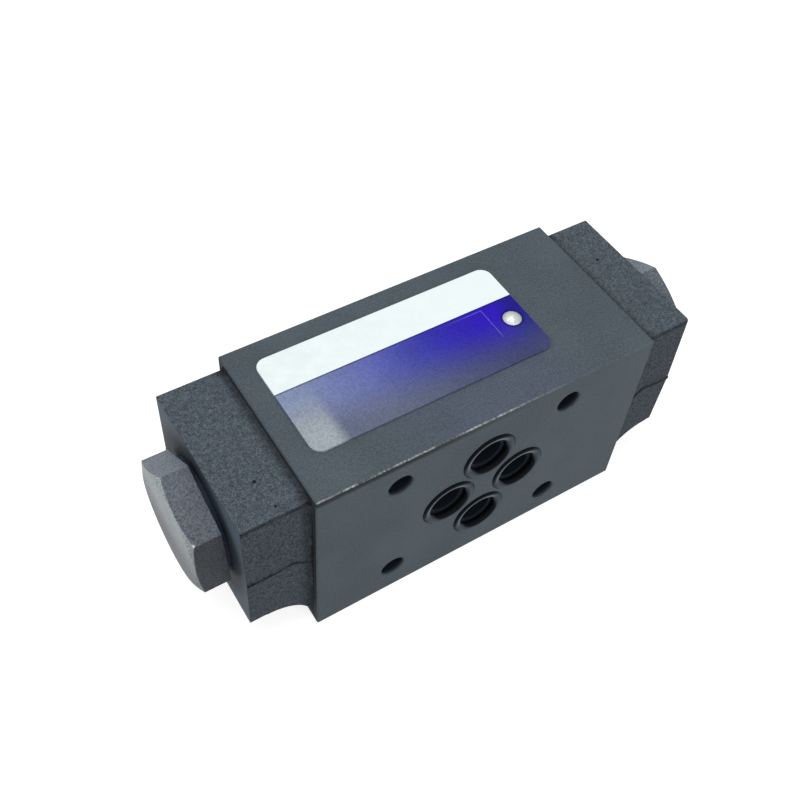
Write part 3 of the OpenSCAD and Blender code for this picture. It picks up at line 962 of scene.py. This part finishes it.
@dataclass(frozen=True)
class RivetFinish(Finish):
    """Bright rivet with a fine grain and dull dents."""

    dull: Colour = (0.46, 0.48, 0.49)
    dents: Grain = Grain(1.4)
    dent_step: Step = Step(0.5, 0.62)
    dent_roughness: float = 0.2
    relief: float = 0.03

    def detail(self, g: Graph, shader: bpy.types.Node, effects: Effects) -> None:
        """Adds the dents and the grain.

        Args:
            g: The material's graph.
            shader: The shader.
            effects: The shared effects.
        """
        place = g.place()
        grit = g.use(effects.grit, Place=place)
        dents = g.patches(place, self.dents, self.dent_step)
        g.feed(shader.inputs["Base Color"], g.mix(dents, self.base, self.dull))
        self.roughen(g, shader, dents, self.dent_roughness)
        self.bump(g, shader, grit["Height"], self.relief)


@dataclass(frozen=True)
class PrintFinish(Finish):
    """Printed marking plate: a white strip over a violet field that fades, with painted glare at the
    left.
    """

    contrast: float = 1.0
    # Strength and colour of the painted highlight along the edge
    wear: float = 0.6
    edge: Colour = (0.3, 0.3, 0.55)
    grit_roughness: float = 0.1
    relief: float = 0.004

    # The printed field, from left to right and paler at the left with painted glare, and its greyer
    # front
    field_left: Colour = (0.2, 0.245, 0.395)
    field_middle: Colour = (0.031, 0.03, 0.355)
    field_right: Colour = (0.024, 0.006, 0.43)
    field_end: Colour = (0.011, 0.008, 0.23)
    middle_run: Step = Step(-36.0, 4.0)
    right_run: Step = Step(-4.0, 15.0)
    end_run: Step = Step(16.0, 21.5)
    front_left: Colour = (0.115, 0.135, 0.2)
    front_right: Colour = (0.044, 0.054, 0.135)
    front_run: Step = Step(-22.0, 18.0)
    front_depth: Step = fall(-10.5, 2.0)

    # Painted glare on the corner at the left
    silver: Colour = (0.33, 0.37, 0.405)
    silver_run: Step = fall(-28.6, -25.4)
    silver_depth: Step = Step(-7.0, 4.0, 1.0, 0.1)

    # White strip at the back, and the shades beside it and round the rivet
    strip_edge: float = 5.35
    strip_aged: Colour = (0.76, 0.84, 0.845)
    aged_run: Step = Step(-34.0, 20.0, 1.0, 0.2)
    aged: Grain = Grain(0.35, 4.0, 0.7)
    aged_step: Step = Step(0.3, 0.7)
    strip_shadow: Step = Step(-0.45, -0.2)
    strip_shade: float = 0.45
    rivet: Point = (18.6, -0.5, 47.5)
    rivet_shadow: Step = fall(2.15, 2.8)
    rivet_shade: float = 0.4

    # Thin line that parts the field
    line: Colour = (0.3, 0.28, 0.7)
    line_x: float = 14.0
    line_top: float = 4.4
    line_foot: Step = Step(-4.5, -2.5)
    line_start: float = 2.0
    line_width: Step = fall(0.045, 0.09)
    line_strength: float = 0.45

    def detail(self, g: Graph, shader: bpy.types.Node, effects: Effects) -> None:
        """Adds the printed fields with painted glare at the left, the line and a painted highlight along
        the edge.

        Args:
            g: The material's graph.
            shader: The shader.
            effects: The shared effects.
        """
        place = g.place()
        x, y, _ = g.split(place)
        # Printed field, paler at the left with painted glare
        colour = g.mix(g.ramp(x, self.middle_run), self.field_left, self.field_middle)
        colour = g.mix(g.ramp(x, self.right_run), colour, self.field_right)
        colour = g.mix(g.ramp(x, self.end_run), colour, self.field_end)
        front = g.mix(g.ramp(x, self.front_run), self.front_left, self.front_right)
        colour = g.mix(g.ramp(y, self.front_depth), colour, front)
        # Painted glare on the corner at the left
        corner = g.both(g.ramp(x, self.silver_run), g.ramp(y, self.silver_depth))
        colour = g.mix(corner, colour, self.silver)
        colour = g.mix(self._parting_line(g, x, y), colour, self.line)
        grit = g.use(effects.grit, Place=place, Contrast=self.contrast)
        colour = g.times(colour, grit["Tone"])
        by_strip = g.ramp(y, self.strip_shadow.past(self.strip_edge))
        colour = g.shade(colour, by_strip, self.strip_shade)
        by_rivet = g.ramp(g.distance(place, self.rivet), self.rivet_shadow)
        colour = g.shade(colour, by_rivet, self.rivet_shade)
        # Painted highlight along the plate's edge
        wear = g.use(effects.edge_wear_and_highlight, Place=place, Radius=EDGE_RADIUS, Amount=self.wear)
        colour = g.mix(wear["Mask"], colour, self.edge)
        aged = g.both(g.ramp(x, self.aged_run), g.patches(place, self.aged, self.aged_step))
        strip = g.mix(aged, self.base, self.strip_aged)
        colour = g.mix(g.math("GREATER_THAN", y, self.strip_edge), colour, strip)
        g.feed(shader.inputs["Base Color"], colour)
        self.roughen(g, shader, grit["Height"], self.grit_roughness)
        self.bump(g, shader, grit["Height"], self.relief, wear["Normal"])

    def _parting_line(self, g: Graph, x: Socket, y: Socket) -> Socket:
        """Thin line that parts the field, with a return along its top.

        Args:
            g: The material's graph.
            x: Place along the plate.
            y: Place across it.

        Returns:
            Mask of the line.
        """
        upright = g.ramp(g.away(x, self.line_x), self.line_width)
        inside = g.both(g.math("LESS_THAN", y, self.line_top), g.ramp(y, self.line_foot))
        level = g.ramp(g.away(y, self.line_top), self.line_width)
        fade = g.ramp(x, Step(self.line_start, self.line_x))
        run = g.both(g.math("LESS_THAN", x, self.line_x), fade)
        mask = g.math("MAXIMUM", g.both(upright, inside), g.both(level, run))
        return g.math("MULTIPLY", mask, self.line_strength)


def dress(node: str, material: bpy.types.Material) -> None:
    """Gives a CAD node its finish.

    Args:
        node: Name of the node.
        material: The finish's material.
    """
    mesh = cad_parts[node].data
    mesh.materials.clear()
    mesh.materials.append(material)
    LOG.info("%s wears %s", node, material.name)


@dataclass
class Casting:
    """The valve body."""

    finish: CastingFinish = CastingFinish("phosphated_casting", (0.07, 0.09, 0.104), 0.62, specular=0.12)

    def build(self, effects: Effects) -> None:
        """Dresses the casting."""
        dress("valve_body", self.finish.make(effects))


@dataclass
class Plugs:
    """Both hex plugs."""

    finish: PlugFinish = PlugFinish("phosphated_plug", (0.088, 0.102, 0.121), 0.55, specular=0.22)

    def build(self, effects: Effects) -> None:
        """Dresses the plugs.

        Args:
            effects: The shared effects.
        """
        material = self.finish.make(effects)
        for side in Side:
            dress(f"plug_{side.letter}", material)


@dataclass
class Seals:
    """Seal rings at the ports, under the plugs and on the seats."""

    finish: RubberFinish = RubberFinish("seal_rubber", (0.05, 0.064, 0.078), 0.65, specular=0.06)
    ports: tuple[str, ...] = ("p", "t", "a", "b")

    def build(self, effects: Effects) -> None:
        """Dresses the rings.

        Args:
            effects: The shared effects.
        """
        material = self.finish.make(effects)
        for port in self.ports:
            dress(f"port_seal_{port}", material)
        for side in Side:
            dress(f"plug_seal_{side.letter}", material)
            dress(f"seat_seal_{side.letter}", material)


@dataclass
class PoppetCoil:
    """Coil of round wire that stands for a poppet's spring."""

    side: Side
    wire: float = 1.0
    mean: float = 9.5
    turns: int = 9
    closed_pitch: float = 1.2
    lift: float = 2.5
    steps: int = 40
    facets: int = 14
    sharp_angle: float = 50.0

    def build(self, material: bpy.types.Material) -> None:
        """Makes the coil in the place of its CAD node.

        Args:
            material: Material of the wire.
        """
        letter = self.side.letter
        node = f"poppet_spring_{letter}"
        low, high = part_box(node)
        inner, held = (high, low) if self.side is Side.A else (low, high)
        length = high.x - low.x
        mesh = bpy.data.meshes.new(f"poppet_coil_{letter}")
        self._wind(mesh, abs(inner.x) / MM, length / MM)
        mesh.materials.append(material)
        coil = bpy.data.objects.new(mesh.name, mesh)
        bpy.context.scene.collection.objects.link(coil)
        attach(coil, "valve")
        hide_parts(node)
        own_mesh(coil)

    def _rise(self, turn: float, length: float) -> float:
        """Rise of the wire after a number of turns, with one closed turn at each end.

        Args:
            turn: Turns from the inner end.
            length: Length of the coil.

        Returns:
            The rise in millimetres.
        """
        closed = self.closed_pitch * self.wire
        pitch = (length - self.wire - 2 * closed) / (self.turns - 2)
        last = self.turns - 1
        closed_turns = min(turn, 1.0) + max(turn - last, 0.0)
        open_turns = min(max(turn, 1.0), last) - 1.0
        return closed * closed_turns + pitch * open_turns

    def _section(self, turn: float, start: float, length: float) -> list[Vector]:
        """Points round the wire after a number of turns, in metres.

        Args:
            turn: Turns from the inner end.
            start: Distance of the inner end from the bore's middle.
            length: Length of the coil.

        Returns:
            The points.
        """
        sign = self.side.value
        angle = math.tau * turn
        points = []
        for facet in range(self.facets):
            around = math.tau * facet / self.facets
            radius = 0.5 * (self.mean + self.wire * math.cos(around))
            along = start + self._rise(turn, length) + 0.5 * self.wire * (1.0 + math.sin(around))
            height = AXIS_HEIGHT - sign * radius * math.cos(angle)
            points.append(Vector((sign * along, radius * math.sin(angle), height)) * MM)
        return points

    def _wind(self, mesh: bpy.types.Mesh, start: float, length: float) -> None:
        """Winds the wire into a mesh.

        Args:
            mesh: The empty mesh.
            start: Distance of the inner end from the bore's middle.
            length: Length of the coil.
        """
        built = bmesh.new()
        rings = []
        for step in range(self.turns * self.steps + 1):
            section = self._section(step / self.steps, start, length)
            rings.append([built.verts.new(point) for point in section])
        for ring, after in zip(rings, rings[1:]):
            for facet in range(self.facets):
                beside = (facet + 1) % self.facets
                built.faces.new((ring[facet], ring[beside], after[beside], after[facet]))
        built.faces.new(rings[0])
        built.faces.new(rings[-1])
        bmesh.ops.recalc_face_normals(built, faces=built.faces)
        built.to_mesh(mesh)
        built.free()
        mesh.shade_smooth()
        mesh.set_sharp_from_angle(angle=math.radians(self.sharp_angle))


@dataclass
class Cartridge:
    """Pilot spool, seats, poppets and springs inside the bore."""

    ground: SteelFinish = SteelFinish("ground_steel", (0.4, 0.41, 0.425), 0.3, 1.0)
    wire: SteelFinish = SteelFinish("spring_wire", (0.34, 0.35, 0.37), 0.35, 1.0, grade=SteelGrade.WIRE)

    def build(self, effects: Effects) -> None:
        """Dresses the inner pieces and winds the springs.

        Args:
            effects: The shared effects.
        """
        ground = self.ground.make(effects)
        wire = self.wire.make(effects)
        dress("pilot_spool", ground)
        for side in Side:
            dress(f"seat_bush_{side.letter}", ground)
            dress(f"poppet_{side.letter}", ground)
            dress(f"poppet_spring_{side.letter}", wire)
            PoppetCoil(side).build(wire)


@dataclass
class MarkingPlate:
    """Plate on top of the block with its rivet."""

    plate: PrintFinish = PrintFinish("printed_plate", (0.825, 0.905, 0.91), 0.5, specular=0.1)
    rivet: RivetFinish = RivetFinish("rivet_metal", (0.5, 0.54, 0.54), 0.45, 1.0)

    def build(self, effects: Effects) -> None:
        """Dresses the plate and the rivet."""
        dress("nameplate", self.plate.make(effects))
        dress("rivet_b", self.rivet.make(effects))


@dataclass
class Softbox:
    """One soft lamp that looks at the part."""

    name: str
    place: Point
    size: float
    power: float

    def build(self, target: Vector) -> None:
        """Makes the lamp.

        Args:
            target: Point that it looks at.
        """
        lamp = bpy.data.lights.new(self.name, "AREA")
        lamp.shape = "SQUARE"
        lamp.size = self.size
        lamp.energy = self.power
        lamp_object = bpy.data.objects.new(self.name, lamp)
        lamp_object.location = self.place
        lamp_object.rotation_euler = (target - Vector(self.place)).to_track_quat("-Z", "Y").to_euler()
        bpy.context.scene.collection.objects.link(lamp_object)


@dataclass
class Studio:
    """Pale floor, soft light and the camera of the photograph."""

    floor_half: float = 4.0
    floor_drop: float = 0.0001
    floor_colour: Colour = (0.5, 0.5, 0.5)
    floor_roughness: float = 0.9
    floor_specular: float = 0.1
    floor_lift: float = 0.77
    world_level: float = 0.45
    camera_place: Point = (-0.086322, -0.107514, 0.202326)
    camera_turn: Point = (0.667737, -0.057753, -0.558916)
    lens: float = 46.202
    shift: tuple[float, float] = (-0.000616, 0.006261)
    nearest: float = 0.01
    lamp_target: Point = (0.0, 0.0, 0.024)
    lamps: tuple[Softbox, ...] = field(
        default_factory=lambda: (
            Softbox("overhead_box", (-0.1, 0.05, 0.7), 0.5, 2.6),
            Softbox("front_box", (0.0, -0.65, 0.3), 0.5, 1.8),
        )
    )

    def build(self) -> None:
        """Makes floor, light and camera."""
        self._floor()
        self._world()
        for lamp in self.lamps:
            lamp.build(Vector(self.lamp_target))
        self._camera()

    @staticmethod
    def _seen(g: Graph) -> Socket:
        """Finds the rays that show the background: straight, mirrored or through glass.

        Args:
            g: Graph of the floor or the world.

        Returns:
            Mask of those rays.
        """
        path = g.add("ShaderNodeLightPath").outputs
        seen = g.math("MAXIMUM", path["Is Camera Ray"], path["Is Glossy Ray"])
        return g.math("MAXIMUM", seen, path["Is Transmission Ray"])

    def _floor(self) -> None:
        """Makes the floor, lifted to white where no shadow falls."""
        half = self.floor_half
        mesh = bpy.data.meshes.new("floor")
        corners = [(-half, -half, 0.0), (half, -half, 0.0), (half, half, 0.0), (-half, half, 0.0)]
        mesh.from_pydata(corners, [], [(0, 1, 2, 3)])
        floor = bpy.data.objects.new("floor", mesh)
        floor.location.z = -self.floor_drop
        bpy.context.scene.collection.objects.link(floor)
        material = bpy.data.materials.new("pale_floor")
        material.use_nodes = True
        g = Graph(material.node_tree)
        shader = material.node_tree.nodes["Principled BSDF"]
        g.feed(shader.inputs["Base Color"], self.floor_colour)
        g.feed(shader.inputs["Roughness"], self.floor_roughness)
        g.feed(shader.inputs["Specular IOR Level"], self.floor_specular)
        g.feed(shader.inputs["Emission Color"], WHITE)
        g.feed(shader.inputs["Emission Strength"], g.math("MULTIPLY", self._seen(g), self.floor_lift))
        mesh.materials.append(material)

    def _world(self) -> None:
        """Makes the even light all round, white where it is seen."""
        world = bpy.data.worlds.new("studio")
        bpy.context.scene.world = world
        world.use_nodes = True
        g = Graph(world.node_tree)
        background = world.node_tree.nodes["Background"]
        g.feed(background.inputs["Color"], WHITE)
        g.feed(background.inputs["Strength"], g.ramp(self._seen(g), Step(0.0, 1.0, self.world_level)))

    def _camera(self) -> None:
        """Makes the camera at the photograph's angle."""
        camera = bpy.data.cameras.new("camera")
        camera.lens = self.lens
        camera.shift_x, camera.shift_y = self.shift
        camera.clip_start = self.nearest
        holder = bpy.data.objects.new("camera", camera)
        holder.location = self.camera_place
        holder.rotation_euler = self.camera_turn
        bpy.context.scene.collection.objects.link(holder)
        bpy.context.scene.camera = holder


def main() -> None:
    """Builds the sub-assemblies in order."""
    logging.basicConfig(level=logging.INFO)
    bpy.context.scene.view_settings.view_transform = "Standard"
    Studio().build()
    effects = Effects()
    for assembly in (Casting(), Plugs(), Seals(), Cartridge(), MarkingPlate()):
        assembly.build(effects)


if __name__ == "__main__":
    main()
